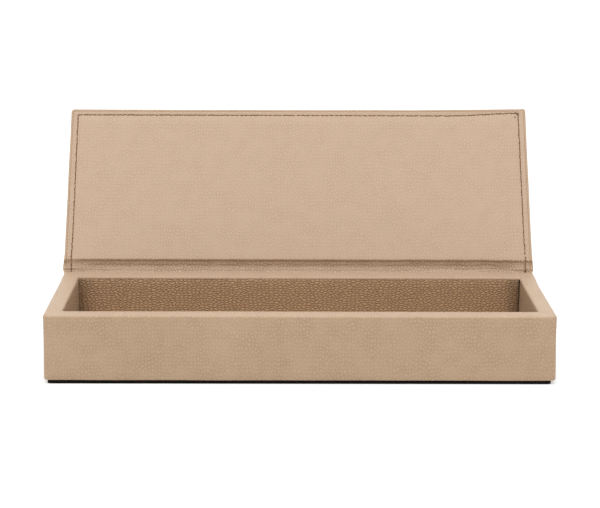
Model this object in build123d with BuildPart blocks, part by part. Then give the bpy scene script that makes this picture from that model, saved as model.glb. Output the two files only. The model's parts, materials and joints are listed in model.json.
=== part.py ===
"""A leather-wrapped pen box: an open tray of boards under leather, and a stitched lid on a leather hinge.

Millimetres. The origin is the centre of the pad's underside, the front faces -Y and +Z is up.
The lid stands open, as it is at rest, and it closes about the axis that is worked out below.
"""
from build123d import *
from math import cos, radians, sin, tan
import os

# Overall sizes
tray_width = 270.0          # over the leather, left to right
tray_depth = 94.4           # over the leather, front face to rear face
leather_height = 35.4       # underside of the wrap to the top of the rim

# Leather, card and felt
wrap_leather = 1.3          # tray wrap, lid cover and the flap that joins them
lining_leather = 1.2        # inside of the tray, inside of the lid and its flap
pad_thickness = 2.0         # felt under the base
pad_inset = 2.0             # felt stands back from the tray's faces
turn_under = 12.0           # wrap folded under the base, measured from the faces

# Boards
front_board = 7.8
rear_board = 9.8            # thicker, because it carries the hinge flap
side_board = 6.4
bottom_board_thickness = 2.5
lid_board_thickness = 2.6

# Rounded edges
corner_radius = 2.0         # upright corners of the wrap
rim_outer_radius = 1.2
rim_inner_radius = 0.8
underside_radius = 1.0
lid_corner_radius = 2.2     # free corners of the lid
lid_edge_radius = 1.0       # turned edge of the lid's cover
hinge_nose_radius = 1.0     # lining bent round the lid board's hinge edge

# Lid
lid_overhang = 0.5          # past the tray at each side, and past its front when closed
lid_edge_drop = 0.6         # turned edge lies this far below the lining's face

# Hinge
open_angle = 122.5          # from closed to the pose at rest
closed_gap = 0.4            # lining's face over the rim when closed
hinge_edge_back = 2.6       # open: lid's hinge edge behind the tray's rear face
hinge_edge_up = 7.0         # open: lid's hinge edge above the rim
flap_stub = 2.0             # flap runs on in the lid's plane for this far
valley_back = 4.8           # open: foot of the flap's upright stretch, behind the rear face
valley_drop = 0.6           # and below the rim
brow_drop = 1.1             # flap leaves the rear wall this far below the rim
fold_radius = 0.4           # inside the bends over the rear wall and at the shoulder
valley_radius = 1.0         # inside the bend at the valley
tail_hem = 2.0              # flap's lower edge above the wrap's underside

# Stitching
stitch_inset = 4.0          # from the lid's outline
stitch_pitch = 2.8
stitch_length = 2.2
stitch_width = 0.7
stitch_height = 0.4
groove_width = 1.0
groove_depth = 0.3

# Levels and places that follow from these
wrap_low = pad_thickness
board_low = wrap_low + wrap_leather
rim_top = wrap_low + leather_height
board_top = rim_top - wrap_leather
floor_low = board_low + bottom_board_thickness
floor_top = floor_low + lining_leather
core_width = tray_width - 2 * wrap_leather
front_face = -tray_depth / 2
rear_face = tray_depth / 2
front_core_face = front_face + wrap_leather
rear_core_face = rear_face - wrap_leather
inner_front = front_core_face + front_board
inner_rear = rear_core_face - rear_board
inner_half_width = core_width / 2 - side_board
clear_front = inner_front + lining_leather
clear_rear = inner_rear - lining_leather
clear_half_width = inner_half_width - lining_leather
clear_depth = clear_rear - clear_front
clear_middle = (clear_front + clear_rear) / 2
inner_depth = inner_rear - inner_front
inner_middle = (inner_front + inner_rear) / 2
wall_lining_height = board_top - floor_top
lid_width = tray_width + 2 * lid_overhang
lid_length = tray_depth + lid_overhang
lid_thickness = lining_leather + lid_board_thickness + wrap_leather
panel_width = lid_width - 2 * wrap_leather
panel_length = lid_length - wrap_leather

# The lid's own plane: its hinge edge is the origin, Y runs up the lid, and Z points out of its lining.
lean = radians(open_angle - 90)
hinge_edge = (rear_face + hinge_edge_back, rim_top + hinge_edge_up)
lid_face = Plane(
    origin=(0, hinge_edge[0], hinge_edge[1]),
    x_dir=(1, 0, 0),
    z_dir=(0, -cos(lean), sin(lean)),
)
lid_up = Axis(lid_face.origin, lid_face.y_dir)
lid_normal = Axis(lid_face.origin, lid_face.z_dir)
board_face = lid_face.offset(-lining_leather)
cover_inside = board_face.offset(-lid_board_thickness)
cover_outside = cover_inside.offset(-wrap_leather)

# The axis turns the hinge edge from its open place to its closed place, over the rear face.
closed_edge = (rear_face, rim_top + closed_gap)
half_step = [(c - o) / 2 for o, c in zip(hinge_edge, closed_edge)]
reach = 1 / tan(radians(open_angle) / 2)
axis_y = hinge_edge[0] + half_step[0] - half_step[1] * reach
axis_z = hinge_edge[1] + half_step[1] + half_step[0] * reach

# Where the flap's two leathers meet, seen from the side as (y, z), from the rear wall up to the lid.
# It goes up the wall, back into a valley, upright to a shoulder and on in the lid's plane.
cover_fold = wrap_leather + fold_radius
valley_fold = lining_leather + valley_radius
tail_top = rim_top - brow_drop - cover_fold
tail_low = wrap_low + tail_hem
flap_depth = lining_leather + lid_board_thickness
flap_top = (hinge_edge[0] + flap_depth * cos(lean), hinge_edge[1] - flap_depth * sin(lean))
flap_line = [
    (rear_face + lining_leather, tail_top),
    (rear_face + lining_leather, rim_top - brow_drop),
    (rear_face + valley_back, rim_top - valley_drop),
    (flap_top[0] - flap_stub * sin(lean), flap_top[1] - flap_stub * cos(lean)),
    flap_top,
]
flap_bends = [cover_fold, valley_fold, cover_fold]

# Centres of the stitches in the lid's plane: two rows up the sides and one along the free edge
side_x = lid_width / 2 - stitch_inset
top_y = lid_length - stitch_inset
side_count = int((top_y - 1.5 * stitch_pitch) / stitch_pitch)
side_rows = [
    (x, top_y - (i + 0.9) * stitch_pitch) for x in (-side_x, side_x) for i in range(side_count)
]
top_count = int((2 * side_x - stitch_pitch) / stitch_pitch)
top_row = [((i - (top_count - 1) / 2) * stitch_pitch, top_y) for i in range(top_count)]


def save(piece, name):
    piece.label = name
    export_step(piece, f"parts/{name}.step")


def upright_board(name, size, centre):
    """A board that stands on the wrap's folded edge and reaches the underside of the rim."""
    with BuildPart() as board:
        with BuildSketch(Plane.XY.offset(board_low)):
            with Locations(centre):
                Rectangle(*size)
        extrude(amount=board_top - board_low)
    save(board.part, name)


def wall_lining(name, size, centre):
    """Lining leather on one inner wall, from the floor lining up to the underside of the rim."""
    with BuildPart() as lining:
        with BuildSketch(Plane.XY.offset(floor_top)):
            with Locations(centre):
                Rectangle(*size)
        extrude(amount=wall_lining_height)
    save(lining.part, name)


def flap_tail(name, thickness, width, near_face):
    """The flap's end, glued down the outside of the rear wall."""
    with BuildPart() as tail:
        with BuildSketch(Plane.XY.offset(tail_low)):
            with Locations((0, near_face + thickness / 2)):
                Rectangle(width, thickness)
        extrude(amount=tail_top - tail_low)
    save(tail.part, name)


def flap_leather(name, thickness, width, side):
    """The flap's free stretch, on one side of the line where its two leathers meet."""
    with BuildPart() as leather:
        with BuildSketch(Plane.YZ):
            with BuildLine():
                FilletPolyline(*flap_line, radius=flap_bends)
                offset(amount=thickness, side=side)
            make_face()
        extrude(amount=width / 2, both=True)
    save(leather.part, name)


def stitches(plane, height):
    """One thread slug for each stitch, standing on the plane."""
    with BuildSketch(plane) as threads:
        with Locations(*side_rows):
            Rectangle(stitch_width, stitch_length)
        with Locations(*top_row):
            Rectangle(stitch_length, stitch_width)
    extrude(threads.sketch, amount=height)


def stitch_groove(plane, depth):
    """The channel that the stitches lie in: up one side, along the free edge and down the other."""
    with BuildSketch(plane) as channel:
        for x in (-side_x, side_x):
            with Locations((x, (top_y + groove_width / 2) / 2)):
                Rectangle(groove_width, top_y + groove_width / 2)
        with Locations((0, top_y)):
            Rectangle(2 * side_x, groove_width)
    extrude(channel.sketch, amount=depth, mode=Mode.SUBTRACT)


os.makedirs("parts", exist_ok=True)

# Tray boards: the front and rear boards run the full width, and the side boards stand between them
upright_board(
    "front_board", (core_width, front_board), (0, front_core_face + front_board / 2)
)
upright_board("rear_board", (core_width, rear_board), (0, rear_core_face - rear_board / 2))
side_centre = core_width / 2 - side_board / 2
upright_board("left_board", (side_board, inner_depth), (-side_centre, inner_middle))
upright_board("right_board", (side_board, inner_depth), (side_centre, inner_middle))

with BuildPart() as bottom_board:
    with BuildSketch(Plane.XY.offset(board_low)):
        with Locations((0, inner_middle)):
            Rectangle(2 * inner_half_width, inner_depth)
    extrude(amount=bottom_board_thickness)
save(bottom_board.part, "bottom_board")

# Leather wrap: one skin round the four walls, over the rim and folded under the base
with BuildPart() as tray_wrap:
    with BuildSketch(Plane.XY.offset(wrap_low)):
        Rectangle(tray_width, tray_depth)
    extrude(amount=leather_height)
    fillet(tray_wrap.edges().filter_by(Axis.Z), corner_radius)
    fillet(tray_wrap.faces().sort_by(Axis.Z)[-1].edges(), rim_outer_radius)
    fillet(tray_wrap.faces().sort_by(Axis.Z)[0].edges(), underside_radius)
    with BuildSketch(Plane.XY.offset(board_low)):
        Rectangle(core_width, tray_depth - 2 * wrap_leather)
    extrude(amount=board_top - board_low, mode=Mode.SUBTRACT)
    with BuildSketch(Plane.XY.offset(board_top)):
        with Locations((0, clear_middle)):
            Rectangle(2 * clear_half_width, clear_depth)
    extrude(amount=wrap_leather, mode=Mode.SUBTRACT)
    mouth = tray_wrap.faces().filter_by(Plane.XY).sort_by(Axis.Z)[-1].inner_wires()
    fillet(mouth[0].edges(), rim_inner_radius)
    with BuildSketch(Plane.XY.offset(wrap_low)):
        Rectangle(tray_width - 2 * turn_under, tray_depth - 2 * turn_under)
    extrude(amount=wrap_leather, mode=Mode.SUBTRACT)
save(tray_wrap.part, "tray_wrap")

with BuildPart() as base_infill_card:
    with BuildSketch(Plane.XY.offset(wrap_low)):
        Rectangle(tray_width - 2 * turn_under, tray_depth - 2 * turn_under)
    extrude(amount=wrap_leather)
save(base_infill_card.part, "base_infill_card")

with BuildPart() as base_pad:
    with BuildSketch():
        RectangleRounded(tray_width - 2 * pad_inset, tray_depth - 2 * pad_inset, corner_radius)
    extrude(amount=pad_thickness)
save(base_pad.part, "base_pad")

# Tray linings: the front and rear pieces run the full width, and the side pieces fit between them
with BuildPart() as floor_lining:
    with BuildSketch(Plane.XY.offset(floor_low)):
        with Locations((0, inner_middle)):
            Rectangle(2 * inner_half_width, inner_depth)
    extrude(amount=lining_leather)
save(floor_lining.part, "floor_lining")

long_piece = (2 * inner_half_width, lining_leather)
wall_lining("front_wall_lining", long_piece, (0, inner_front + lining_leather / 2))
wall_lining("rear_wall_lining", long_piece, (0, inner_rear - lining_leather / 2))
short_piece = (lining_leather, clear_depth)
lining_centre = inner_half_width - lining_leather / 2
wall_lining("left_wall_lining", short_piece, (-lining_centre, clear_middle))
wall_lining("right_wall_lining", short_piece, (lining_centre, clear_middle))

# Hinge flap: two leathers that leave the rear wall together and run up to the lid
flap_tail("flap_lining_tail", lining_leather, panel_width, rear_face)
flap_tail("flap_cover_tail", wrap_leather, lid_width, rear_face + lining_leather)
flap_leather("hinge_lining", lining_leather, panel_width, Side.LEFT)
flap_leather("hinge_cover", wrap_leather, lid_width, Side.RIGHT)

# Lid: a board between the cover, whose edges are turned up round it, and the lining
with BuildPart() as lid_board:
    with BuildSketch(cover_inside):
        with Locations((0, (lining_leather + panel_length) / 2)):
            Rectangle(panel_width, panel_length - lining_leather)
    extrude(amount=lid_board_thickness)
save(lid_board.part, "lid_board")

with BuildPart() as lid_cover:
    with BuildSketch(cover_outside):
        with Locations((0, lid_length / 2)):
            Rectangle(lid_width, lid_length)
    extrude(amount=lid_thickness - lid_edge_drop)
    fillet(lid_cover.edges().filter_by(lid_normal).sort_by(lid_up)[-2:], lid_corner_radius)
    turned_edge = lid_cover.faces().sort_by(lid_normal)[-1]
    fillet(turned_edge.edges().sort_by(lid_up)[1:], lid_edge_radius)
    with BuildSketch(cover_inside):
        with Locations((0, panel_length / 2)):
            Rectangle(panel_width, panel_length)
    extrude(amount=lid_thickness, mode=Mode.SUBTRACT)
    stitch_groove(cover_outside, groove_depth)
save(lid_cover.part, "lid_cover")

with BuildPart() as lid_lining:
    with BuildSketch(board_face):
        with Locations((0, panel_length / 2)):
            Rectangle(panel_width, panel_length)
    extrude(amount=lining_leather)
    with BuildSketch(cover_inside):
        with Locations((0, lining_leather / 2)):
            Rectangle(panel_width, lining_leather)
    extrude(amount=lid_board_thickness)
    nose = lid_lining.edges().filter_by(Axis.X).group_by(lid_up)[0].sort_by(lid_normal)[-1]
    fillet(nose, hinge_nose_radius)
    stitch_groove(lid_face.offset(-groove_depth), groove_depth)
save(lid_lining.part, "lid_lining")

with BuildPart() as lid_stitching:
    stitches(lid_face.offset(-groove_depth), stitch_height)
    stitches(cover_outside.offset(groove_depth), -stitch_height)
save(lid_stitching.part, "lid_stitching")

print("hinge axis through y, z:", round(axis_y, 3), round(axis_z, 3))
print("pen space x, y, z:", clear_half_width, clear_front, clear_rear, floor_top, rim_top)
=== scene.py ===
import json
import math
import random

import bmesh
import bpy
from mathutils import Matrix, Vector, noise


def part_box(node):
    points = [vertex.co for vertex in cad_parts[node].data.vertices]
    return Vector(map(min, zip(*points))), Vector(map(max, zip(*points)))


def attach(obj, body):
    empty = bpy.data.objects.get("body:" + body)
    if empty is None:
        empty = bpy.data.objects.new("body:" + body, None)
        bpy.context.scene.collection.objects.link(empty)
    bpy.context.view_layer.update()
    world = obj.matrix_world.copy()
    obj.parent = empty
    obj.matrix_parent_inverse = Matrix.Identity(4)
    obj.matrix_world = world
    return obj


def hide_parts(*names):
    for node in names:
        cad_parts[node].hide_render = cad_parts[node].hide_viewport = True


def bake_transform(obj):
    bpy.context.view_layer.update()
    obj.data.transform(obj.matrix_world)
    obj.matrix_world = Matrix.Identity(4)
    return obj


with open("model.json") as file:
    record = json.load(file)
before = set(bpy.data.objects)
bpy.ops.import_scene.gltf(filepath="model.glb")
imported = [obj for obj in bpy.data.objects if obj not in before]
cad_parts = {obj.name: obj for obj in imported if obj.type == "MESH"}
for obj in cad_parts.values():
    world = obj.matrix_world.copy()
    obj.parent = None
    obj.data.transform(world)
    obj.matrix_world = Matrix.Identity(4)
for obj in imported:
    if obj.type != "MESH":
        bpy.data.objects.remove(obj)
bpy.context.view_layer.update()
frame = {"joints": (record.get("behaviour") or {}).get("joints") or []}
mm = 0.001
tiny = 1e-6  # places nearer than this are the same place
square = 0.99  # cosine above which a face looks straight along a direction
crispAngle = 40  # degrees: edges that fold further stay crisp

# Where things are, read from the frame
wrapLow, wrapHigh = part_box("tray_wrap")
frontFace, rearFace = wrapLow.y, wrapHigh.y
rimTop = wrapHigh.z
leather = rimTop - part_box("front_board")[1].z  # cover and wrap leather
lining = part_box("left_wall_lining")[1].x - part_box("left_wall_lining")[0].x
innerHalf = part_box("right_wall_lining")[0].x
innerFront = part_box("front_wall_lining")[1].y
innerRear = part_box("rear_wall_lining")[0].y
tailLow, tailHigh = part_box("flap_cover_tail")
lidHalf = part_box("lid_cover")[1].x
lidLength = rearFace - frontFace + lidHalf - wrapHigh.x  # the same overhang at the sides and the front
joint = frame["joints"][0]
hingeAxis = Vector(joint["pos_m"])
openAngle = math.radians(joint["range_deg"][1])

# The lid's own frame at rest: X along the hinge, Y up the lid, Z out of its lining
lidPlan = {
    "closedGap": 0.4 * mm,
    "board": 2.6 * mm,
    "edgeDrop": 0.06 * mm,  # turned edge lies below the lining's face
    "bow": 0.15 * mm,  # free corners stand up a little from the middle
    "cornerLift": 0.5 * mm,
    "cornerReach": 25 * mm,
    "cornerX": (60 * mm, lidHalf),  # most at the right
    "tipShare": 0.6,
    "tipReach": 4 * mm,
    "lean": 0.125 * mm,  # both sides lie a little to the right, twice as far at the top
    "leanAlong": (-4 * mm, 2 * mm),
    "skew": 0.3 * mm,  # and the lid is not quite square
    "columns": 1.8 * mm,
    "rows": 4 * mm,
    "margins": (4 * mm, 6 * mm),  # without columns or rows, at the sides and at the free edge
}
closedEdge = Vector((0, rearFace, rimTop + lidPlan["closedGap"]))
hingeEdge = hingeAxis + Matrix.Rotation(-openAngle, 3, "X") @ (closedEdge - hingeAxis)
lidTurn = math.pi - openAngle
lidPlace = Matrix.Translation(hingeEdge) @ Matrix.Rotation(lidTurn, 4, "X")
lidUp = Vector((0, math.cos(lidTurn), math.sin(lidTurn)))
lidOut = Vector((0, -math.sin(lidTurn), math.cos(lidTurn)))
coverInside = -(lining + lidPlan["board"])
panelHalf = lidHalf - leather
panelLength = lidLength - leather


# Small tools

def linear(hexColour):
    values = [int(hexColour[i:i + 2], 16) / 255 for i in (1, 3, 5)]
    return [v / 12.92 if v <= 0.04045 else ((v + 0.055) / 1.055) ** 2.4 for v in values] + [1.0]


def addNode(tree, kind, inputs=None, **settings):
    # an input is given as a value, a socket, or a node whose first output feeds it
    node = tree.nodes.new("ShaderNode" + kind)
    for name, value in settings.items():
        setattr(node, name, value)
    for name, value in (inputs or {}).items():
        if isinstance(value, bpy.types.Node):
            value = value.outputs[0]
        if isinstance(value, bpy.types.NodeSocket):
            tree.links.new(value, node.inputs[name])
        else:
            node.inputs[name].default_value = value
    return node


def newMaterial(name):
    material = bpy.data.materials.new(name)
    material.use_nodes = True
    material.node_tree.nodes.clear()
    return material, material.node_tree


def addObject(name, data):
    obj = bpy.data.objects.new(name, data)
    bpy.context.collection.objects.link(obj)
    return obj


def addCube(name, low, high, place=None):
    place = place or Matrix.Identity(4)
    low, high = Vector(low), Vector(high)
    bpy.ops.mesh.primitive_cube_add(
        size=1, location=place @ ((low + high) / 2), rotation=place.to_euler(), scale=high - low
    )
    obj = bpy.context.object
    obj.name = obj.data.name = name
    bpy.ops.object.transform_apply()
    bpy.ops.object.mode_set(mode="EDIT")
    return obj


def pick(kind, test):
    # selects the vertices, edges or faces that pass the test, which gets each one and its centre
    bpy.ops.mesh.select_mode(type=kind)
    bpy.ops.mesh.select_all(action="DESELECT")
    data = bpy.context.object.data
    shape = bmesh.from_edit_mesh(data)
    shape.normal_update()
    if kind == "VERT":
        found = [v for v in shape.verts if test(v, v.co)]
    elif kind == "EDGE":
        found = [e for e in shape.edges if test(e, (e.verts[0].co + e.verts[1].co) / 2)]
    else:
        found = [f for f in shape.faces if test(f, f.calc_center_median())]
    for item in found:
        item.select_set(True)
    bmesh.update_edit_mesh(data)


def sharp(edge):
    # the faces at the edge fold by more than about 50 degrees
    return edge.calc_face_angle(0) > 0.9


def roundEdges(test, radius, segments):
    pick("EDGE", lambda e, c: sharp(e) and test(c))
    bpy.ops.mesh.bevel(offset=radius, segments=segments)


def cut(point, normal, test=None):
    # cuts a straight line of edges where a plane meets the mesh, or the faces that pass the test
    if test:
        pick("FACE", test)
    else:
        bpy.ops.mesh.select_all(action="SELECT")
    bpy.ops.mesh.bisect(plane_co=point, plane_no=normal, threshold=tiny)


def cutEvenly(low, high, normal, spacing):
    low, high, normal = Vector(low), Vector(high), Vector(normal)
    count = round((high - low).dot(normal) / spacing)
    for i in range(1, count):
        cut(low + (high - low) * i / count, normal)


def cutRectangle(low, high, test):
    for x in (low[0], high[0]):
        cut((x, 0, 0), (1, 0, 0), test)
    for y in (low[1], high[1]):
        cut((0, y, 0), (0, 1, 0), test)


def pull(direction, length, steps=1):
    for _ in range(steps):
        bpy.ops.mesh.extrude_region_move(TRANSFORM_OT_translate={"value": direction * length / steps})


def turn(centre, degrees, steps):
    # spins the selected end about a line along X
    bpy.ops.mesh.spin(steps=steps, angle=math.radians(degrees), center=centre, axis=(1, 0, 0))


def moveVerts(obj, shift):
    for vert in obj.data.vertices:
        vert.co += shift(vert.co)


def vertsAndNormals(obj):
    # with the normals from before any vertex is moved
    return list(zip(obj.data.vertices, [v.normal.copy() for v in obj.data.vertices]))


def ripple(obj, height, length, seed):
    # leather never lies quite flat: a slow swell along the surface normals
    shift = Vector((seed * 3.7, seed * 1.3, seed * 7.1))
    for vert, normal in vertsAndNormals(obj):
        vert.co += normal * height * noise.noise(vert.co / length + shift)


def smooth(low, high, value):
    t = min(max((value - low) / (high - low), 0), 1)
    return t * t * (3 - 2 * t)


def markVerts(obj, name, value):
    # a number on each vertex that the leather's material reads
    mark = obj.data.attributes.new(name, "FLOAT", "POINT")
    mark.data.foreach_set("value", [value(vert.co) for vert in obj.data.vertices])


def keepPlaces(obj, name):
    # where each vertex is now, for the material to read
    places = obj.data.attributes.new(name, "FLOAT_VECTOR", "POINT")
    places.data.foreach_set("vector", [value for vert in obj.data.vertices for value in vert.co])


def lidSpot(co):
    # a place in the lid's own frame
    return lidPlace.inverted() @ co


def layGrain(obj, isFlap):
    # the grain lies on every face as on flat leather: along the box and up the wall, the lid or the flap
    mesh = obj.data
    laid = [0.0] * (3 * len(mesh.loops))
    turned = lidPlace.to_3x3().inverted()
    for polygon in mesh.polygons:
        onLid = isFlap and lidSpot(polygon.center).y > 0
        normal = turned @ polygon.normal if onLid else polygon.normal
        across = max(range(3), key=lambda axis: abs(normal[axis]))
        for loop in polygon.loop_indices:
            co = mesh.vertices[mesh.loops[loop].vertex_index].co
            if isFlap and not onLid:
                spot = [co.x, co.y - hingeEdge.y + co.z - hingeEdge.z]
            else:
                spot = [value for axis, value in enumerate(lidSpot(co) if onLid else co) if axis != across]
            laid[3 * loop:3 * loop + 2] = spot
    grain = mesh.attributes.new("grain", "FLOAT_VECTOR", "CORNER")
    grain.data.foreach_set("vector", laid)


def finishPiece(obj, material, slot, replaced, body=None):
    # without a body the piece is attached to no body, and its rest places are kept for its grain; without a
    # material it keeps those that it has
    bpy.ops.object.select_all(action="DESELECT")
    obj.select_set(True)
    bpy.context.view_layer.objects.active = obj
    bpy.ops.object.shade_smooth_by_angle(angle=math.radians(crispAngle))
    if material:
        obj.data.materials.clear()
        obj.data.materials.append(material)
    if "leather" in slot:
        layGrain(obj, body is None)
    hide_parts(*replaced)
    if body:
        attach(obj, body)
        return
    keepPlaces(obj, "restPlace")  # the grain stays where it is on the leather when the flap bends
    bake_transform(obj)


# Camera: a long lens a little above the box, from straight in front

cameraPlan = {
    "focalPixels": 1689.5,
    "imageWidth": 600,
    "sensor": 36.0,
    "clip": (0.01, 50),
    "place": Vector((-9.4 * mm, frontFace - 854.1 * mm, rimTop + 236.6 * mm)),
    "down": 0.2333,  # radians, as the next two
    "left": 0.0108,
    "roll": 0.005,
}


def makeCamera():
    plan = cameraPlan
    data = bpy.data.cameras.new("camera")
    camera = addObject("camera", data)
    data.sensor_width = plan["sensor"]
    data.lens = plan["focalPixels"] / plan["imageWidth"] * plan["sensor"]
    data.clip_start, data.clip_end = plan["clip"]
    aim = Matrix.Rotation(-plan["left"], 4, "Z") @ Matrix.Rotation(math.pi / 2 - plan["down"], 4, "X")
    camera.matrix_world = Matrix.Translation(plan["place"]) @ aim @ Matrix.Rotation(plan["roll"], 4, "Z")
    bpy.context.scene.camera = camera


# White studio: one broad soft light high in front, a pale surround, and a floor that looks white

stagePlan = {
    "floorSize": 12.0,
    "surround": 0.48,
    # power, spread, turn to the side and lean from straight up, in degrees
    "softbox": (2.04, 52, -6, 18),
    "backLight": (0.5, 40, 0, -50),
    "floorColour": "#ECEBE9",
    "floorGlow": 0.45,
    "floorShade": 0.62,
}


def seenDirectly(tree):
    # 1 where the camera sees the surface itself, also in a gloss, and 0 where it only gives light
    rays = addNode(tree, "LightPath").outputs
    seen = addNode(tree, "Math", {0: rays["Is Camera Ray"], 1: rays["Is Glossy Ray"]}, operation="MAXIMUM")
    return addNode(tree, "Math", {0: seen, 1: rays["Is Transmission Ray"]}, operation="MAXIMUM")


def floorMaterial():
    # matt paper sweep: to the eye it is nearly white and keeps a light shadow
    material, tree = newMaterial("paperSweep")
    plain = addNode(tree, "BsdfDiffuse", {"Color": linear(stagePlan["floorColour"])})
    shade = addNode(tree, "BsdfDiffuse", {"Color": [stagePlan["floorShade"]] * 3 + [1]})
    glow = addNode(tree, "Emission", {"Color": [1, 1, 1, 1], "Strength": stagePlan["floorGlow"]})
    bright = addNode(tree, "AddShader", {0: shade, 1: glow})
    mixed = addNode(tree, "MixShader", {0: seenDirectly(tree), 1: plain, 2: bright})
    addNode(tree, "OutputMaterial", {"Surface": mixed})
    return material


def addLight(name, power, spread, side, lean):
    # a soft light far away, leaning to the front, or to the back where the lean is negative
    data = bpy.data.lights.new(name, "SUN")
    data.energy = power
    data.angle = math.radians(spread)
    lamp = addObject(name, data)
    aside = Matrix.Rotation(math.radians(side), 4, "Z")
    lamp.matrix_world = aside @ Matrix.Rotation(math.radians(lean), 4, "X")


def makeStage():
    plan = stagePlan
    bpy.ops.mesh.primitive_plane_add(size=plan["floorSize"])
    floor = bpy.context.object
    floor.name = "floor"
    floor.data.materials.append(floorMaterial())
    world = bpy.data.worlds.new("studio")
    bpy.context.scene.world = world
    world.use_nodes = True
    tree = world.node_tree
    tree.nodes.clear()
    soft = addNode(tree, "Background", {"Color": [1, 1, 1, 1], "Strength": plan["surround"]})
    white = addNode(tree, "Background", {"Color": [1, 1, 1, 1], "Strength": 1.0})
    mixed = addNode(tree, "MixShader", {0: seenDirectly(tree), 1: soft, 2: white})
    addNode(tree, "OutputWorld", {"Surface": mixed})
    addLight("softbox", *plan["softbox"])
    addLight("backLight", *plan["backLight"])
    bpy.context.scene.view_settings.view_transform = "Standard"


makeCamera()
makeStage()
print("camera and stage made")


# Leather: full-grain hide with a pressed pebble, dyed tan, satin finish

def pebbledLeather(name, plan, restAttribute=None):
    # the pebbles catch small soft lights, and the dye lies darker in the creases between them
    material, tree = newMaterial(name)
    if restAttribute:
        place = addNode(tree, "Attribute", attribute_name=restAttribute).outputs["Vector"]
    else:
        place = addNode(tree, "TexCoord").outputs["Object"]
    warpNoise = addNode(tree, "TexNoise", {"Vector": place, "Scale": 1 / plan["warpLength"], "Detail": 2.0})
    warp = addNode(tree, "VectorMath", {0: warpNoise.outputs["Color"], 1: (0.5, 0.5, 0.5)},
                   operation="SUBTRACT")
    warp = addNode(tree, "VectorMath", {0: warp, "Scale": plan["warpSize"]}, operation="SCALE")
    laid = addNode(tree, "Attribute", attribute_name="grain").outputs["Vector"]
    warped = addNode(tree, "VectorMath", {0: laid, 1: warp}, operation="ADD")
    stretched = addNode(tree, "Mapping", {"Vector": warped, "Scale": plan["stretch"]})
    cells = addNode(tree, "TexVoronoi",
                    {"Vector": stretched, "Scale": 1 / plan["pebble"], "Randomness": plan["randomness"]},
                    voronoi_dimensions="2D", feature="DISTANCE_TO_EDGE")
    dome = addNode(tree, "MapRange", {"Value": cells.outputs["Distance"], "From Max": plan["creaseWidth"]},
                   interpolation_type="SMOOTHSTEP")
    fine = addNode(tree, "TexNoise",
                   {"Vector": place, "Scale": 1 / plan["fineGrain"], "Detail": 3.0, "Roughness": 0.6})
    slow = addNode(tree, "TexNoise",
                   {"Vector": place, "Scale": 1 / plan["mottle"], "Detail": 3.0, "Roughness": 0.55})
    hide = addNode(tree, "Mix",
                   {0: slow.outputs["Fac"], 6: linear(plan["darkHide"]), 7: linear(plan["lightHide"])},
                   data_type="RGBA")
    # first mask: painted shade, a darker colour towards the upright rear corners of the pen space, where
    # shade falls; second mask: slack leather in the gutter, creased more deeply, with painted shade darkening
    # its creases
    paintedCornerShade = addNode(tree, "Attribute", attribute_name="paintedCornerShade").outputs["Fac"]
    grainAndCreaseShade = addNode(tree, "Attribute", attribute_name="grainAndCreaseShade").outputs["Fac"]
    hide = addNode(tree, "Mix",
                   {0: paintedCornerShade, 6: hide.outputs[2], 7: linear(plan["cornerShadeColour"])}, data_type="RGBA")
    # the press bites deeper in some patches than in others
    bite = addNode(tree, "MapRange",
                   {"Value": warpNoise.outputs["Fac"], "From Min": 0.35, "From Max": 0.65,
                    "To Min": 1 - plan["biteSpread"], "To Max": 1 + plan["biteSpread"]})
    # more dye in the gutter's creases: painted shade, on top of the crease dye that the whole hide has
    dye = addNode(tree, "Math", {0: grainAndCreaseShade, 1: plan["gutterCreaseShade"], 2: plan["creaseDye"]},
                  operation="MULTIPLY_ADD")
    dye = addNode(tree, "Math", {0: dye, 1: bite}, operation="MULTIPLY")
    creaseShare = addNode(tree, "MapRange", {"Value": dome, "To Min": dye, "To Max": 0.0})
    colour = addNode(tree, "Mix",
                     {0: creaseShare, 6: hide.outputs[2], 7: linear(plan["crease"])}, data_type="RGBA")
    rough = addNode(tree, "MapRange",
                    {"Value": fine.outputs["Fac"], "From Min": 0.3, "From Max": 0.7,
                     "To Min": plan["roughness"][0], "To Max": plan["roughness"][1]})
    height = addNode(tree, "Math", {0: fine.outputs["Fac"], 1: plan["fineShare"], 2: dome},
                     operation="MULTIPLY_ADD")
    relief = addNode(tree, "Math", {0: grainAndCreaseShade, 1: plan["grainyRelief"], 2: plan["relief"]},
                     operation="MULTIPLY_ADD")
    bump = addNode(tree, "Bump", {"Height": height, "Strength": plan["bump"], "Distance": relief})
    shader = addNode(tree, "BsdfPrincipled",
                     {"Base Color": colour.outputs[2], "Roughness": rough, "IOR": 1.46,
                      "Normal": bump, "Sheen Weight": plan["sheen"], "Sheen Roughness": 0.5})
    addNode(tree, "OutputMaterial", {"Surface": shader})
    return material


leatherPlan = {
    "pebble": 1.7 * mm,  # at the coarse end for such leather, because finer pebbles don't show
    "randomness": 0.85,
    "creaseWidth": 0.3,
    "stretch": (1.0, 0.8, 1.0),
    "biteSpread": 0.35,
    "warpLength": 9 * mm,
    "warpSize": 1.2 * mm,
    "fineGrain": 0.5 * mm,  # pores, drawn coarser than they are
    "fineShare": 0.3,
    "mottle": 28 * mm,
    "lightHide": "#C7AB8E",
    "darkHide": "#BB9E80",
    "crease": "#84603E",
    # colour of the painted shade in the rear corners of the pen space
    "cornerShadeColour": "#5E4022",
    "creaseDye": 0.25,
    # painted shade: how much more the creases darken in the gutter
    "gutterCreaseShade": 0.2,
    "grainyRelief": 0.5 * mm,
    "roughness": (0.44, 0.58),
    "bump": 0.4,
    "relief": 0.1 * mm,
    "sheen": 0.2,
}
# the lid is lined with the same hide, pressed flatter
lidLiningPlan = dict(leatherPlan, lightHide="#C5A98F", darkHide="#C4A88E", creaseDye=0.17, relief=0.08 * mm)
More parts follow.
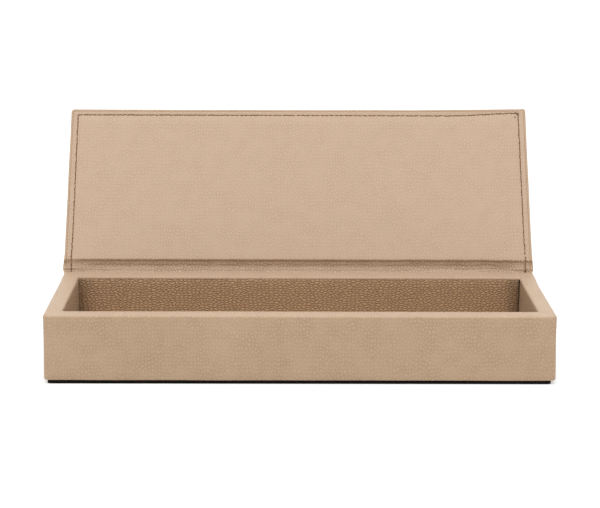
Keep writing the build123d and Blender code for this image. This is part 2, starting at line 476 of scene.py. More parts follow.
# the pen space is lined with a yellower cut, grained more deeply; its relief is drawn some four times deeper
# than such leather has, or it would not show
trayLiningLeatherPlan = dict(leatherPlan, lightHide="#D2AD84", darkHide="#CDA880", crease="#6E4E2C",
                             creaseDye=0.3, pebble=1.4 * mm, stretch=(0.6, 1.0, 1.0), bump=1.0,
                             relief=0.6 * mm, biteSpread=0.1)
wrapLeather = pebbledLeather("tanPebbledLeather", leatherPlan)
flapLeather = pebbledLeather("tanPebbledLeatherFlap", leatherPlan, "restPlace")
trayLiningLeather = pebbledLeather("tanTrayLiningLeather", trayLiningLeatherPlan)
flapLining = pebbledLeather("tanLidLiningLeather", lidLiningPlan, "restPlace")


def mattedFibres(name, plan):
    # short strands that lie across each other, over slow clumps of lighter and darker stuff
    material, tree = newMaterial(name)
    place = addNode(tree, "TexCoord").outputs["Object"]
    strands = []
    for way in ((1, 6, 6), (6, 1, 1)):
        drawn = addNode(tree, "Mapping", {"Vector": place, "Scale": way})
        strand = addNode(tree, "TexNoise",
                         {"Vector": drawn, "Scale": 1 / plan["fibreLength"], "Detail": 3.0,
                          "Roughness": 0.6, "Distortion": 1.2})
        strands.append(strand.outputs["Fac"])
    matted = addNode(tree, "Math", {0: strands[0], 1: strands[1]}, operation="MAXIMUM")
    clumps = addNode(tree, "TexNoise", {"Vector": place, "Scale": 1 / plan["clump"], "Detail": 2.0})
    share = addNode(tree, "Math", {0: matted, 1: clumps.outputs["Fac"]}, operation="MULTIPLY")
    share = addNode(tree, "MapRange", {"Value": share, "From Min": 0.18, "From Max": 0.42})
    colour = addNode(tree, "Mix",
                     {0: share, 6: linear(plan["dark"]), 7: linear(plan["light"])}, data_type="RGBA")
    bump = addNode(tree, "Bump", {"Height": matted, "Strength": plan["bump"], "Distance": plan["relief"]})
    shader = addNode(tree, "BsdfPrincipled",
                     {"Base Color": colour.outputs[2], "Roughness": plan["roughness"], "Normal": bump,
                      "Specular IOR Level": plan["gloss"], "Sheen Weight": plan["sheen"],
                      "Sheen Roughness": 0.6})
    addNode(tree, "OutputMaterial", {"Surface": shader})
    return material


def twistedThread(name, plan):
    # ridges run slanting round each stitch, and wax fills the grooves between them
    material, tree = newMaterial(name)
    along = addNode(tree, "Attribute", attribute_name="threadPlace").outputs["Vector"]
    ridges = addNode(tree, "TexWave", {"Vector": along, "Scale": plan["repeat"] / plan["twist"]},
                     bands_direction="DIAGONAL")
    place = addNode(tree, "Attribute", attribute_name="restPlace").outputs["Vector"]
    wear = addNode(tree, "TexNoise", {"Vector": place, "Scale": 1 / plan["wear"], "Detail": 2.0})
    share = addNode(tree, "Math", {0: ridges.outputs["Fac"], 1: wear.outputs["Fac"]}, operation="MULTIPLY")
    colour = addNode(tree, "Mix",
                     {0: share, 6: linear(plan["groove"]), 7: linear(plan["ridge"])}, data_type="RGBA")
    bump = addNode(tree, "Bump",
                   {"Height": ridges.outputs["Fac"], "Strength": 0.8, "Distance": plan["relief"]})
    shader = addNode(tree, "BsdfPrincipled",
                     {"Base Color": colour.outputs[2], "Roughness": plan["roughness"], "IOR": 1.45,
                      "Normal": bump})
    addNode(tree, "OutputMaterial", {"Surface": shader})
    return material


# Wool felt, matted and rolled flat: dead matt and almost black, with a faint paler fuzz where fibres stand up
feltMaterial = mattedFibres("blackWoolFelt", {
    "fibreLength": 1.8 * mm,  # strands drawn 0.3 mm thick, coarser than wool, so that they show
    "clump": 5 * mm,
    "dark": "#080403",
    "light": "#1A100B",
    "roughness": 0.95,
    "bump": 0.7,
    "relief": 0.25 * mm,
    "sheen": 0.04,
    "gloss": 0.15,  # the fibres that stand up hide most of the shine of those below them
})
# Grey board, pulped waste paper pressed and dried in sheets: matt, with flecks of fibre
boardMaterial = mattedFibres("greyPulpBoard", {
    "fibreLength": 1.2 * mm,
    "clump": 3 * mm,
    "dark": "#76664F",
    "light": "#A08E74",
    "roughness": 0.88,
    "bump": 0.4,
    "relief": 0.08 * mm,
    "sheen": 0.0,
    "gloss": 0.5,
})
# Painted shadow of a needle hole: a thin disc coloured nearly black, with the fibres of raw leather, standing
# in for the shade inside the hole
holeShadowMaterial = mattedFibres("needleHolePaintedShadow", {
    "fibreLength": 0.6 * mm,
    "clump": 2 * mm,
    "dark": "#24140A",
    "light": "#4A2E18",
    "roughness": 0.9,
    "bump": 0.4,
    "relief": 0.05 * mm,
    "sheen": 0.0,
    "gloss": 0.5,
})
# Polyester sewing thread, twisted and waxed: fine slanting ridges with a faint gloss
threadMaterial = twistedThread("waxedPolyesterThread", {
    "twist": 0.7 * mm,
    "repeat": 0.628,  # how far a diagonal wave of scale 1 runs before it repeats
    "wear": 3 * mm,
    "ridge": "#AC7436",
    "groove": "#66411C",
    "roughness": 0.55,
    "relief": 0.06 * mm,
})


# Tray wrap: one leather skin round the walls, over the rim and under the base

wrapPlan = {
    "cornerRadius": 2.2 * mm,
    "rimOuter": 1.0 * mm,
    "rimInner": 0.8 * mm,
    "foot": 1.0 * mm,
    "turnUnder": 12 * mm,
    "glueGap": 0.1 * mm,
    "grid": 4 * mm,
    "gridMargin": (4 * mm, 3.4 * mm, 0),
    "swell": 0.16 * mm,
    "swellLength": 38 * mm,
    "rimCrown": 0.2 * mm,
    "crownReach": 4 * mm,
    # the leather folded under the base makes the walls stand out a little at the foot, most at the right
    "footSwell": {-1: 0.35 * mm, 1: 0.7 * mm},
    "footReach": 30 * mm,
    "sideSwell": {-1: 0, 1: 0.25 * mm},
    "sideDepth": 3 * mm,
    "mouthShift": 0.45 * mm,  # the left wall is a little thicker than the right
    "mouthFade": (1 * mm, 7 * mm),  # out from the mouth
    "rearRise": 0.55 * mm,  # the flap's leathers under the wrap lift the rim at the rear
    "riseFade": (-26 * mm, -9 * mm),  # along Y from the rear face
    "riseDepth": 12 * mm,
    "rearSpread": 0.6 * mm,  # of the right rear corner
    "spreadReach": (6 * mm, 30 * mm),
    "lapWidth": 0.5 * mm,
    "lapBow": 1.3 * mm,
    "lapReach": 6 * mm,
    "lapEnd": 1.05,  # just past the outer corner
    # how deep the step is where the leather is folded over itself at each corner of the rim
    "lapDepths": {(1, -1): 0.3 * mm, (-1, -1): 0.14 * mm, (1, 1): 0.12 * mm, (-1, 1): 0.12 * mm},
    "rimSlope": 0.4,  # the least cosine of a rim face's lean
    "longFace": 500 * mm ** 2,  # the rim's long faces are larger, and reach into the corners
}


def rimCorner(side, end):
    # inner and outer corner of the rim, from above
    inner = Vector((side * innerHalf, innerRear if end > 0 else innerFront, rimTop))
    outer = Vector((side * wrapHigh.x, rearFace if end > 0 else frontFace, rimTop))
    return inner, outer


def riseAtRear(co):
    atRear = smooth(*wrapPlan["riseFade"], co.y - rearFace)
    return wrapPlan["rearRise"] * atRear * smooth(-wrapPlan["riseDepth"], -leather, co.z - rimTop)


def shapeWrap(co):
    plan = wrapPlan
    side = 1 if co.x > 0 else -1
    atFoot = 1 - smooth(0, plan["footReach"], co.z - wrapLow.z)
    out = plan["footSwell"][side] * atFoot + plan["sideSwell"][side]
    shift = Vector((side * out if abs(co.x) > wrapHigh.x - plan["sideDepth"] else 0, 0, riseAtRear(co)))
    shift.x += plan["mouthShift"] * (1 - smooth(*plan["mouthFade"], abs(co.x) - innerHalf))
    reachX, reachY = plan["spreadReach"]
    atCorner = smooth(-reachY, 0, co.y - rearFace) * smooth(-reachX, 0, co.x - wrapHigh.x)
    shift.x += plan["rearSpread"] * atCorner
    if co.z < rimTop - 10 * tiny:
        return shift
    outward = max(abs(co.x) - innerHalf, innerFront - co.y, co.y - innerRear)
    inward = min(wrapHigh.x - abs(co.x), co.y - frontFace, rearFace - co.y)
    shift.z += plan["rimCrown"] * smooth(0, plan["crownReach"], min(outward, inward) - plan["rimInner"])
    for (side, end), depth in plan["lapDepths"].items():
        inner, outer = rimCorner(side, end)
        run = (outer - inner).normalized()
        place = (co - inner).dot(run) / (outer - inner).length
        off = (co - inner).dot(Vector((-run.y, run.x, 0)))
        if 0 < place < plan["lapEnd"]:
            if abs(off) < plan["lapWidth"] / 10:
                shift.z -= depth
            bow = math.sin(math.pi * min(place, 1)) * (1 - smooth(0, plan["lapReach"], abs(off)))
            shift.y -= end * plan["lapBow"] * bow
    return shift


def makeTrayWrap():
    plan = wrapPlan
    wrap = addCube("trayLeather", wrapLow, wrapHigh)
    roundEdges(lambda c: abs(c.z - (wrapLow.z + wrapHigh.z) / 2) < tiny, plan["cornerRadius"], 5)
    roundEdges(lambda c: c.z > rimTop - tiny, plan["rimOuter"], 4)
    roundEdges(lambda c: c.z < wrapLow.z + tiny, plan["foot"], 3)
    # mouth: the leather turns down over the inner edge of each wall
    cutRectangle((-innerHalf, innerFront), (innerHalf, innerRear), lambda f, c: f.normal.z > square)
    inMouth = lambda c: abs(c.x) < innerHalf + tiny and innerFront - tiny < c.y < innerRear + tiny
    pick("FACE", lambda f, c: f.normal.z > square and inMouth(c))
    pull(Vector((0, 0, -1)), leather)
    bpy.ops.mesh.delete(type="FACE")
    roundEdges(lambda c: c.z > rimTop - tiny and inMouth(c), plan["rimInner"], 4)
    # base: folded under, with an open middle
    foldX, foldY = wrapHigh.x - plan["turnUnder"], wrapHigh.y - plan["turnUnder"]
    cutRectangle((-foldX, -foldY), (foldX, foldY), lambda f, c: f.normal.z < -square)
    pick("FACE", lambda f, c: f.normal.z < -square and abs(c.x) < foldX and abs(c.y) < foldY)
    bpy.ops.mesh.delete(type="FACE")
    for (side, end) in plan["lapDepths"]:
        inner, outer = rimCorner(side, end)
        across = Vector((inner.y - outer.y, outer.x - inner.x, 0)).normalized()
        atCorner = lambda f, c: f.normal.z > plan["rimSlope"] and (
            (c.x - inner.x) * side > 0 and (c.y - inner.y) * end > 0 or f.calc_area() > plan["longFace"])
        for offset in (-0.5, 0, 0.5):
            cut(inner + across * plan["lapWidth"] * offset, across, atCorner)
    # rows and columns that carry the leather's slight swell
    for axis, margin in enumerate(plan["gridMargin"]):
        way = Matrix.Identity(3)[axis]
        low, high = wrapLow[axis] + margin, wrapHigh[axis] - margin
        cutEvenly(way * low, way * high, way, plan["grid"])
    bpy.ops.object.mode_set(mode="OBJECT")
    moveVerts(wrap, shapeWrap)
    ripple(wrap, plan["swell"], plan["swellLength"], 1)
    solid = wrap.modifiers.new("thickness", "SOLIDIFY")
    solid.thickness = leather - plan["glueGap"]
    solid.offset = -1
    bpy.ops.object.modifier_apply(modifier=solid.name)
    finishPiece(wrap, wrapLeather, "tan_leather", ["tray_wrap"], body="tray")
    return wrap


wrap = makeTrayWrap()
print("tray wrap made:", len(wrap.data.polygons), "faces")


# Hinge flap: from the lid's edge it folds forward into a roll, then lies flat to the rear wall and down it

flapPlan = {
    "stub": 2.0 * mm,  # runs on in the lid's plane, down to the shoulder
    "valley": (4.8 * mm, -0.6 * mm),  # back from the rear face and up from the rim
    "brow": -1.1 * mm,  # up from the rim, where the flap leaves the rear wall
    "radii": (1.7 * mm, 2.2 * mm, 1.7 * mm),
    "bendStep": 9,  # degrees
    "row": 0.25 * mm,
    "tailRows": 8,
    "bendLength": 7 * mm,
    # in the pairs below a change fades in or out; ends: in from the lid's sides; up: from the rim;
    # along: in the lid's plane from its hinge edge; back: from the rear face; x: across the box
    "swell": 0.7 * mm,  # sideways
    "swellEnds": (12 * mm, 0),
    "swellUp": (-1 * mm, 1.5 * mm),
    "swellAlong": (-3.2 * mm, 0.5 * mm),
    "gutterLow": -0.5 * mm,  # up from the rim
    "grooveDepth": 2.6 * mm,
    "grooveFill": 0.55,  # the lining is slack and doesn't follow the board's edge all the way
    "grooveEndFill": 0.9,
    "grooveEnds": (11 * mm, 5 * mm),
    "faceLean": 1.3 * mm,  # the foot of the upright part comes forward
    "leanUp": (0.6 * mm, 3.6 * mm),
    "bulge": 2.0 * mm,  # both ends of the gutter bulge over the rim
    "bulgeEnds": (18 * mm, 4 * mm),
    "bulgeBack": (0.4 * mm, 4.2 * mm),
    "bulgeAlong": (-4 * mm, -1 * mm),
    "wrinkle": (0.088 * mm, 0.22 * mm),  # at the left and at the right
    "wrinkleX": (-20 * mm, 100 * mm),
    "wrinkleDepth": 1.2 * mm,
    "wrinkleEnds": (5 * mm, 3 * mm),
    "wrinkleGrid": (12 * mm, 1.7 * mm, 4.2),  # length, width and a third number that only picks the pattern
    "crease": 0.17 * mm,
    "creaseGrid": (3.4 * mm, 0.95 * mm, 9.1),
    "fold": 0.4 * mm,
    "foldHeight": 1.7 * mm,
    "foldWander": 0.4 * mm,
    "foldGrid": (18 * mm, 1 * mm, 0),
    "foldWidth": 0.35 * mm,
    "foldX": (60 * mm, 85 * mm, 118 * mm, 127 * mm),
}
flapTop = hingeEdge - lidOut * (lining + lidPlan["board"])
flapPath = [
    flapTop,
    flapTop - lidUp * flapPlan["stub"],
    Vector((0, rearFace + flapPlan["valley"][0], rimTop + flapPlan["valley"][1])),
    Vector((0, tailLow.y, rimTop + flapPlan["brow"])),
    Vector((0, tailLow.y, tailLow.z)),
]


def pullFlap(before):
    # carries the selected end of a leather, already pulled a little, on to the foot of the rear wall
    for i, radius in enumerate(flapPlan["radii"]):
        a, b, c = flapPath[i:i + 3]
        way, nextWay = (b - a).normalized(), (c - b).normalized()
        angle = math.atan2(way.y * nextWay.z - way.z * nextWay.y, way.dot(nextWay))
        tangent = radius * math.tan(abs(angle) / 2)
        length = (b - a).length - before - tangent
        pull(way, length, max(1, round(length / flapPlan["row"])))
        inward = Vector((0, -way.z, way.y)) * math.copysign(1, angle)
        bend = math.degrees(angle)
        turn(b - way * tangent + inward * radius, -bend, max(3, round(abs(bend) / flapPlan["bendStep"])))
        before = tangent
    pull(Vector((0, 0, -1)), (flapPath[-1] - flapPath[-2]).length - before, flapPlan["tailRows"])


# Stitching: two rows up the sides and one along the free edge, sewn through the whole lid

stitchPlan = {
    "leftInset": 4.3 * mm,
    "rightInset": 4.15 * mm,
    "topInset": 3.7 * mm,
    "topDrift": 1.9 * mm,  # the row runs out towards the edge at its right end
    "driftStart": 90 * mm,
    "pitch": 2.8 * mm,
    "length": 2.0 * mm,
    "thread": 0.29 * mm,
    # each end goes on in two steps, which reach further, dip and get thinner
    "ends": ((0.13, 0.08 * mm, 0.92), (0.12, 0.22 * mm, 0.7)),
    # radius and thickness of the dark disc beside each stitch, which is the painted shadow of a needle hole
    "hole": 0.4 * mm,
    "holeDepth": 0.12 * mm,
    "channelWidth": 1.5 * mm,
    "channelDepth": 0.19 * mm,
    "jitter": 0.2 * mm,
    "tilt": 8,  # degrees
    "lift": (0.3, 0.55),  # of the thread's thickness
    "jog": 0.25 * mm,  # the side rows step outwards just above the hinge
    "jogAlong": (6 * mm, 12 * mm),
    "lowest": 1 * mm,  # of the stitches above the hinge
    "first": 0.6,  # of a pitch, from the corner to the first stitch of a side row
    # the stitch that slants across the right corner: its place, in pitches, and how far it slants
    "slantPlace": (-0.25, -0.3),
    "slant": Vector((-0.7, 0, 0)),
    # the place of a spare needle hole's painted shadow
    "spareHole": Vector((-1.85, -2.6, 0)) * mm,  # from where the rows meet at the right
    "away": 8 * mm,  # where a search for the leather starts, off the lid
    # the walk down the gutter: seen from far off, its top and bottom up from the rim, its step
    "walkAway": 80 * mm,
    "walkTop": 8.2 * mm,
    "walkLow": 1.2 * mm,
    "walkStep": 0.05 * mm,
    "gutterTop": 3 * mm,  # up from the rim
    "gutterFloor": 3 * mm,  # length of the walk forward over the gutter's floor
    "gutterFront": 0.6 * mm,  # back from the rear face
    "gutterFirst": 0.4,  # of a pitch
    "rowEnd": 1 * mm,  # down from the rim
}
sideRows = {-1: stitchPlan["leftInset"] - lidHalf, 1: lidHalf - stitchPlan["rightInset"]}
topRow = lidLength - stitchPlan["topInset"]


def rowDrift(x):
    return stitchPlan["topDrift"] * smooth(stitchPlan["driftStart"], sideRows[1], x)


def onSideRow(x):
    return min(abs(x - row) for row in sideRows.values()) < 10 * tiny


def atHeight(co, height):
    # height above the face of the lid's lining
    return abs(lidSpot(co).z - height) < tiny


def cutSheet(half):
    # columns and rows of edges over a lid leather, and lines along the stitch rows
    side, free = lidPlan["margins"]
    cutEvenly((side - half, 0, 0), (half - side, 0, 0), (1, 0, 0), lidPlan["columns"])
    cutEvenly(hingeEdge, hingeEdge + lidUp * (lidLength - free), lidUp, lidPlan["rows"])
    offsets = [share * stitchPlan["channelWidth"] for share in (-0.5, 0, 0.5)]
    for x in sideRows.values():
        for offset in offsets:
            cut((x + offset, 0, 0), (1, 0, 0))
    for offset in offsets:
        cut(hingeEdge + lidUp * (topRow + offset), lidUp)


def roundCorners(height, plan, segments):
    # the free corners of a lid leather, whose upright edges have their middle at this height
    for side, radius in ((-1, plan["leftCorner"]), (1, plan["rightCorner"])):
        roundEdges(lambda c: atHeight(c, height) and lidSpot(c).y > lidLength / 2 and c.x * side > 0,
                   radius, segments)


def pressChannels(obj, facing):
    # the thread draws the leather down, and the top row drifts; facing is the way that the sewn side looks
    for vert, normal in vertsAndNormals(obj):
        spot = lidSpot(vert.co)
        inward = -normal if normal.y * facing > 0 else normal
        if vert.co.z < rimTop - stitchPlan["rowEnd"]:
            continue
        onTopRow = abs(spot.y - topRow) < 10 * tiny and sideRows[-1] < vert.co.x < sideRows[1]
        if onTopRow or onSideRow(vert.co.x) and spot.y < topRow + 10 * tiny:
            vert.co += inward * stitchPlan["channelDepth"]
        if abs(spot.y - topRow) < stitchPlan["channelWidth"] / 2 + 10 * tiny:
            vert.co += lidUp * rowDrift(vert.co.x)


def shapeSheet(co):
    # the free corners stand up a little, and the flap swells out at its ends
    plan = lidPlan
    spot = lidSpot(co)
    height = smooth(0, lidLength, spot.y)
    tip = plan["tipShare"] * smooth(-plan["tipReach"], 0, abs(co.x) - lidHalf)
    corner = (smooth(*plan["cornerX"], co.x) + tip) * smooth(-plan["cornerReach"], 0, spot.y - lidLength)
    rise = plan["bow"] * (co.x / lidHalf) ** 2 * height + plan["cornerLift"] * corner
    shift = lidUp * (rise + plan["skew"] * co.x / lidHalf * height)
    swell = smooth(*flapPlan["swellUp"], co.z - rimTop) * (1 - smooth(*flapPlan["swellAlong"], spot.y))
    swell *= fromEnds("swellEnds", co)
    shift.x = math.copysign(flapPlan["swell"] * swell, co.x)
    lean = plan["lean"] * (1 + height) * smooth(*plan["leanAlong"], spot.y)
    shift.x += lean * smooth(0, lidHalf, abs(co.x))
    return shift


def fromEnds(name, co):
    # how near a place is to the lid's sides, from 0 to 1, by one of the flap's pairs
    start, end = flapPlan[name]
    return smooth(-start, -end, abs(co.x) - lidHalf)


def shapeGutter(obj):
    # lining only: the groove under the lid's edge fades out at its ends, and slack leather wrinkles
    plan = flapPlan
    for vert, normal in vertsAndNormals(obj):
        co = vert.co
        spot = lidSpot(co)
        if spot.y > lining or co.z < rimTop + plan["gutterLow"] or normal.y > 0:
            continue
        slope = flapSlope(spot.y)
        if spot.y > -plan["grooveDepth"] and spot.z < slope:
            more = (plan["grooveEndFill"] - plan["grooveFill"]) * fromEnds("grooveEnds", co)
            co += lidOut * (slope - spot.z) * (plan["grooveFill"] + more)
        co.y -= endsForward(co)
        inside = smooth(0, plan["wrinkleDepth"], -spot.z) * (1 - fromEnds("wrinkleEnds", co))
        along = spot.y - spot.z
        atLeft, atRight = plan["wrinkle"]
        wrinkle = atLeft + (atRight - atLeft) * smooth(*plan["wrinkleX"], co.x)
        co += normal * wrinkle * wave(plan["wrinkleGrid"], co.x, along) * inside
        co += normal * plan["crease"] * wave(plan["creaseGrid"], co.x, along) * inside
        wander = plan["foldWander"] * wave(plan["foldGrid"], co.x, plan["foldHeight"])
        off = co.z - rimTop - plan["foldHeight"] - wander
        foldShare = smooth(*plan["foldX"][:2], co.x) * (1 - smooth(*plan["foldX"][2:], co.x))
        co -= normal * plan["fold"] * foldShare * math.exp(-(off / plan["foldWidth"]) ** 2)


def wave(grid, x, along):
    # uneven ups and downs, as in slack leather
    return noise.noise(Vector((x / grid[0], along / grid[1], grid[2])))


def endsForward(co):
    # how far the flap comes forward: bulging at its ends, leaning between them
    plan = flapPlan
    ends = fromEnds("bulgeEnds", co)
    behind = smooth(*plan["bulgeBack"], co.y - rearFace) * (1 - smooth(*plan["bulgeAlong"], lidSpot(co).y))
    lean = 1 - smooth(*plan["leanUp"], co.z - rimTop)
    return behind * (plan["bulge"] * ends + plan["faceLean"] * (1 - ends) * lean)


# Lid cover: outside of the lid, its edges turned up round the board, and the outside of the flap

coverPlan = {
    "leftCorner": 2.4 * mm,
    "rightCorner": 1.7 * mm,
    "backEdge": 0.9 * mm,
    "flapEdge": 1.0 * mm,
    "turnedEdge": 0.35 * mm,
    "swell": 0.14 * mm,
    "swellLength": 30 * mm,
    "innerFaces": (0.3, 0.05, -0.2),  # most X, most Y and least Z of their normals, beside the lining
    "foldedDip": 0.2 * mm,  # the folded edge lies this far below the lining's slope
    "foldedTop": 0.3 * mm,
}


def makeCover():
    plan = coverPlan
    outside = coverInside - leather
    low, high = (-lidHalf, -leather, outside), (lidHalf, lidLength, coverInside)
    cover = addCube("lidCoverLeather", low, high, lidPlace)
    roundCorners(coverInside - leather / 2, plan, 5)
    pick("FACE", lambda f, c: f.normal.dot(lidOut) > square)
    bpy.ops.mesh.inset(thickness=leather)
    inRing = lambda f, c: lidSpot(c).y > 0 and (
        lidSpot(c).y > panelLength or max(abs(v.co.x) for v in f.verts) > panelHalf + 10 * tiny)
    pick("FACE", lambda f, c: f.normal.dot(lidOut) > square and inRing(f, c))
    pull(lidOut, -coverInside - lidPlan["edgeDrop"])
    roundEdges(lambda c: atHeight(c, -lidPlan["edgeDrop"]), plan["turnedEdge"], 4)
    roundEdges(lambda c: atHeight(c, outside) and lidSpot(c).y > -leather + 10 * tiny, plan["backEdge"], 4)
    pick("FACE", lambda f, c: abs(lidSpot(c).y + leather) < tiny and f.normal.dot(lidUp) < -square)
    pullFlap(leather)
    for x in (-panelHalf, panelHalf):
        cut((x, 0, 0), (1, 0, 0), lambda f, c: lidSpot(c).y < 0)
    raiseFlapEdges()
    cutSheet(lidHalf)
    bpy.ops.object.mode_set(mode="OBJECT")
    pressChannels(cover, 1)
    moveVerts(cover, shapeSheet)
    ripple(cover, plan["swell"], plan["swellLength"], 2)
    finishPiece(cover, flapLeather, "tan_leather", ["lid_cover", "hinge_cover", "flap_cover_tail"])
    return cover


def raiseFlapEdges():
    # the inner face of the cover, outside the lining, thickens into a folded edge beside it
    plan = coverPlan
    mostX, mostY, leastZ = plan["innerFaces"]
    pick("FACE", lambda f, c: abs(c.x) > panelHalf and lidSpot(c).y < 0 and abs(f.normal.x) < mostX
         and f.normal.y <= mostY and f.normal.z >= leastZ)
    bpy.ops.mesh.extrude_region_shrink_fatten(TRANSFORM_OT_shrink_fatten={"value": plan["flapEdge"]})
    data = bpy.context.object.data
    shape = bmesh.from_edit_mesh(data)
    for vert in [v for v in shape.verts if v.select]:
        spot = lidSpot(vert.co)
        top = flapSlope(spot.y) - plan["foldedDip"]
        if -flapPlan["grooveDepth"] < spot.y < plan["foldedTop"] and spot.z < top:
            vert.co += lidOut * (top - spot.z)
        vert.co.y -= endsForward(vert.co)
    bmesh.update_edit_mesh(data)


def flapSlope(y):
    # a straight slope from the lid's hinge edge to the roll, in the lid's own frame
    return min(y, 0)


cover = makeCover()
print("lid cover made:", len(cover.data.polygons), "faces")


# Lid lining: inside of the lid, bent round the board's hinge edge into the gutter

liningPlan = {
    "leftCorner": 1.2 * mm,
    "rightCorner": 0.8 * mm,
    "edge": 0.12 * mm,
    "gutterCorner": 0.4 * mm,
    "swell": 0.06 * mm,
    "swellLength": 30 * mm,
    # how the gutter's deeper relief and its painted crease shade fade out up the lid
    "grainAndShadeAlong": (-0.5 * mm, 1 * mm),
}


def makeLining():
    plan = liningPlan
    sheet = addCube("lidLiningLeather", (-panelHalf, lining, -lining), (panelHalf, panelLength, 0), lidPlace)
    roundCorners(-lining / 2, plan, 3)
    roundEdges(lambda c: atHeight(c, 0) and lidSpot(c).y > lining + 10 * tiny, plan["edge"], 3)
    pick("FACE", lambda f, c: f.normal.dot(lidUp) < -square)
    turn(lidPlace @ Vector((0, lining, -lining)), -90, 6)
    corner = plan["gutterCorner"]
    depth = lidPlan["board"] - lining - corner
    pull(-lidOut, depth, 3)
    turn(lidPlace @ Vector((0, -corner, -lining - depth)), 90, 6)
    pullFlap(corner)
    cutSheet(panelHalf)
    bpy.ops.mesh.select_all(action="SELECT")
    bpy.ops.mesh.remove_doubles(threshold=tiny)
    bpy.ops.object.mode_set(mode="OBJECT")
    shapeGutter(sheet)
    pressChannels(sheet, -1)
    moveVerts(sheet, shapeSheet)
    ripple(sheet, plan["swell"], plan["swellLength"], 3)
    # the gutter: deeper relief, and painted shade in its creases
    markVerts(sheet, "grainAndCreaseShade", lambda co: 1 - smooth(*plan["grainAndShadeAlong"], lidSpot(co).y))
    finishPiece(sheet, flapLining, "lining_leather", ["lid_lining", "hinge_lining", "flap_lining_tail"])
    return sheet


sheet = makeLining()
print("lid lining made:", len(sheet.data.polygons), "faces")


def stitchPlaces(obj, facing):
    # a place on the leather for each stitch: X along the row, Z out of the leather
    plan = stitchPlan
    pitch = plan["pitch"]
    places = []
    out = lidOut * -facing

    def add(x, y, run):
        start = lidPlace @ Vector((x, y, 0)) + out * plan["away"]
        found, point, normal, _ = obj.ray_cast(start, -out)
        if found:
            places.append((point, normal, run))

    for side, row in sideRows.items():
        for i in range(int((topRow - plan["lowest"]) / pitch)):
            y = topRow + rowDrift(side * lidHalf) - (i + plan["first"]) * pitch
            add(row + side * plan["jog"] * (1 - smooth(*plan["jogAlong"], y)), y, lidUp)
    rowLength = sideRows[1] - sideRows[-1]
    count = int(rowLength / pitch)
    for i in range(count):
        x = sideRows[-1] + (i + 0.5) * rowLength / count
        add(x, topRow + rowDrift(x), Vector((1, 0, 0)))
    # the rows meet at the right with a slanting stitch
    slantX, slantY = plan["slantPlace"]
    add(sideRows[1] + slantX * pitch, topRow + rowDrift(lidHalf) + slantY * pitch, lidUp + plan["slant"])
    # down through the gutter, at even distances along the leather
    step = plan["walkStep"]
    for side, row in sideRows.items():
        walk = []
        x = row + side * plan["jog"]
        for i in range(round((plan["walkTop"] - plan["walkLow"]) / step)):
            start = Vector((x, rearFace + facing * plan["walkAway"], rimTop + plan["walkTop"] - i * step))
            found, point, normal, _ = obj.ray_cast(start, Vector((0, -facing, 0)))
            if found:
                walk.append((point, normal))
        for i in range(round(plan["gutterFloor"] / step) if facing < 0 else 0):
            start = Vector((x, walk[-1][0].y - i * step, rimTop + plan["gutterTop"]))
            found, point, normal, _ = obj.ray_cast(start, Vector((0, 0, -1)))
            if found and point.y > rearFace + plan["gutterFront"]:
                walk.append((point, normal))
        travelled, due = 0, pitch * plan["gutterFirst"]
        for (a, _), (b, normal) in zip(walk, walk[1:]):
            travelled += (b - a).length
            if travelled >= due:
                places.append((b, normal, (a - b).normalized()))
                due += pitch
    return places


def makeStitch():
    # a short twist of thread that dives into a needle hole at each end, with a dark disc beside it as the
    # painted shadow of a hole
    plan = stitchPlan
    bpy.ops.mesh.primitive_cylinder_add(vertices=7, radius=plan["thread"], depth=plan["length"] * 0.5,
                                        rotation=(0, math.pi / 2, 0))
    stitch = bpy.context.object
    bpy.ops.object.transform_apply()
    bpy.ops.object.mode_set(mode="EDIT")
    for side in (-1, 1):
        for reach, dip, size in plan["ends"]:
            pick("FACE", lambda f, c: f.normal.x * side > square)
            pull(Vector((side * plan["length"] * reach, 0, -dip)), 1)
            bpy.ops.transform.resize(value=(1, size, size))
    bpy.ops.object.mode_set(mode="OBJECT")
    keepPlaces(stitch, "threadPlace")
    stitch.data.materials.append(threadMaterial)
    # a dark disc beside the stitch: the painted shadow of the next needle hole
    bpy.ops.mesh.primitive_cylinder_add(vertices=8, radius=plan["hole"], depth=plan["holeDepth"],
                                        location=(plan["pitch"] / 2, 0, -plan["thread"] * 0.5))
    hole = bpy.context.object
    bpy.ops.object.transform_apply()
    hole.data.materials.append(holeShadowMaterial)
    emptyHoleShadow = hole.data.copy()
    stitch.select_set(True)
    bpy.context.view_layer.objects.active = stitch
    bpy.ops.object.join()
    return stitch, emptyHoleShadow


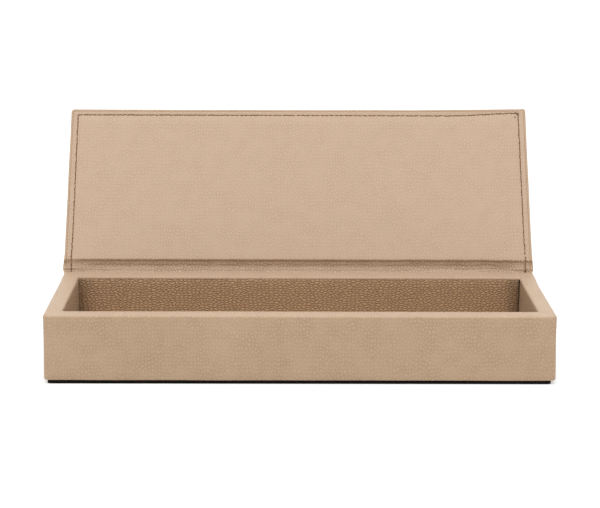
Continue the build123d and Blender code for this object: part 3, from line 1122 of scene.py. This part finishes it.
def makeStitching():
    plan = stitchPlan
    dice = random.Random(11)
    pattern, emptyHoleShadow = makeStitch()
    copies = []
    for point, normal, run in stitchPlaces(sheet, -1) + stitchPlaces(cover, 1):
        run = (run - normal * run.dot(normal)).normalized()
        tilt = math.radians(dice.uniform(-1, 1) * plan["tilt"])
        turned = Matrix((run, normal.cross(run), normal)).transposed().to_4x4()
        slip = Vector((dice.uniform(-1, 1), dice.uniform(-0.4, 0.4), 0)) * plan["jitter"]
        lift = plan["thread"] * dice.uniform(*plan["lift"])
        copy = addObject("stitch", pattern.data.copy())
        copy.matrix_world = (Matrix.Translation(point + normal * lift) @ turned
                             @ Matrix.Rotation(tilt, 4, "Z") @ Matrix.Translation(slip))
        copies.append(copy)
    bpy.data.objects.remove(pattern)
    # one needle hole beside the right corner was left without thread: only its painted shadow disc is there
    spot = Vector((sideRows[1], topRow + rowDrift(lidHalf), plan["away"])) + plan["spareHole"]
    point = sheet.ray_cast(lidPlace @ spot, -lidOut)[1]
    copy = addObject("spareHole", emptyHoleShadow)
    aside = Matrix.Translation((-plan["pitch"] / 2, 0, plan["thread"] * 0.5))
    copy.matrix_world = Matrix.Translation(point) @ lidPlace.to_3x3().to_4x4() @ aside
    copies.append(copy)
    bpy.ops.object.select_all(action="DESELECT")
    for copy in copies:
        copy.select_set(True)
    bpy.context.view_layer.objects.active = copies[0]
    bpy.ops.object.join()
    bpy.ops.object.transform_apply()
    stitching = bpy.context.object
    stitching.name = stitching.data.name = "lidStitching"
    finishPiece(stitching, None, "thread", ["lid_stitching"])
    return stitching, len(copies) - 1


stitching, stitchCount = makeStitching()
print("stitching made:", stitchCount, "stitches,", len(stitching.data.polygons), "faces")


# Tray linings: thin leather glued to the walls and floor

trayLiningPlan = {
    "edge": 0.35 * mm,
    "grid": 4 * mm,
    "swell": 0.16 * mm,
    "swellLength": 24 * mm,
    # painted shade: the linings darken towards the upright rear corners, where shade falls; how strong it is,
    # how far it reaches, and how much faster it fades along the side walls
    "paintedCornerShade": 0.5,
    "cornerShadeReach": 11 * mm,
    "cornerShadeAlongSides": 6,  # it fades so many times faster along the side walls
    # the leather that takes each lining's place, and how far it stops short at its high corner
    "pieces": {
        "front_wall_lining": ("frontWallLeather", (0, 0, 0)),
        "rear_wall_lining": ("rearWallLeather", (1.18 * mm, 0, 0)),
        "left_wall_lining": ("leftWallLeather", (0, 0.1 * mm, 0)),
        "right_wall_lining": ("rightWallLeather", (0, 1.1 * mm, 0)),
        "floor_lining": ("floorLeather", (0, 0, 0)),
    },
}


def cornerShade(co):
    # painted shade for the pen space's linings: strongest in the upright corners at the rear
    plan = trayLiningPlan
    away = max(innerHalf - abs(co.x), 0) + plan["cornerShadeAlongSides"] * max(innerRear - co.y, 0)
    return 1 - smooth(0, plan["cornerShadeReach"], away)


def makeTrayLinings():
    plan = trayLiningPlan
    for seed, (node, (name, short)) in enumerate(plan["pieces"].items(), start=5):
        low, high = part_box(node)
        high = high - Vector(short)
        size = high - low
        piece = addCube(name, low, high)
        roundEdges(lambda c: True, plan["edge"], 3)
        for axis in range(3):
            if size[axis] > 2 * plan["grid"]:
                way = Matrix.Identity(3)[axis]
                margin = way * 1.5 * plan["edge"]  # clear of the rounded edges
                cutEvenly(low + margin, high - margin, way, plan["grid"])
        bpy.ops.object.mode_set(mode="OBJECT")
        ripple(piece, plan["swell"], plan["swellLength"], seed)
        aside = wrapPlan["mouthShift"] if size.x < size.y else 0
        moveVerts(piece, lambda co: Vector((aside, 0, riseAtRear(co))))
        # the corners' painted shade, put on each vertex
        markVerts(piece, "paintedCornerShade", lambda co: plan["paintedCornerShade"] * cornerShade(co))
        finishPiece(piece, trayLiningLeather, "lining_leather", [node], body="tray")


makeTrayLinings()
print("tray linings made")


# Felt pad: pressed thin, it has crept out a little towards the sides and the front

padPlan = {
    "crept": Vector((0.6, 0.8, 0)) * mm,
}


def makePad():
    drawn = bpy.data.objects["base_pad"]
    pad = addObject("feltPad", drawn.data.copy())
    pad.data.transform(drawn.matrix_world)
    crept = padPlan["crept"]
    moveVerts(pad, lambda co: Vector((math.copysign(crept.x, co.x), -crept.y if co.y < 0 else 0, 0)))
    finishPiece(pad, feltMaterial, "black_felt", ["base_pad"], body="tray")


makePad()
print("felt pad made")


# Boards and card keep their CAD shapes

boardNodes = ["front_board", "rear_board", "left_board", "right_board", "bottom_board", "base_infill_card",
              "lid_board"]
for node in boardNodes:
    for materialSlot in bpy.data.objects[node].material_slots:
        materialSlot.material = boardMaterial
print("boards finished")
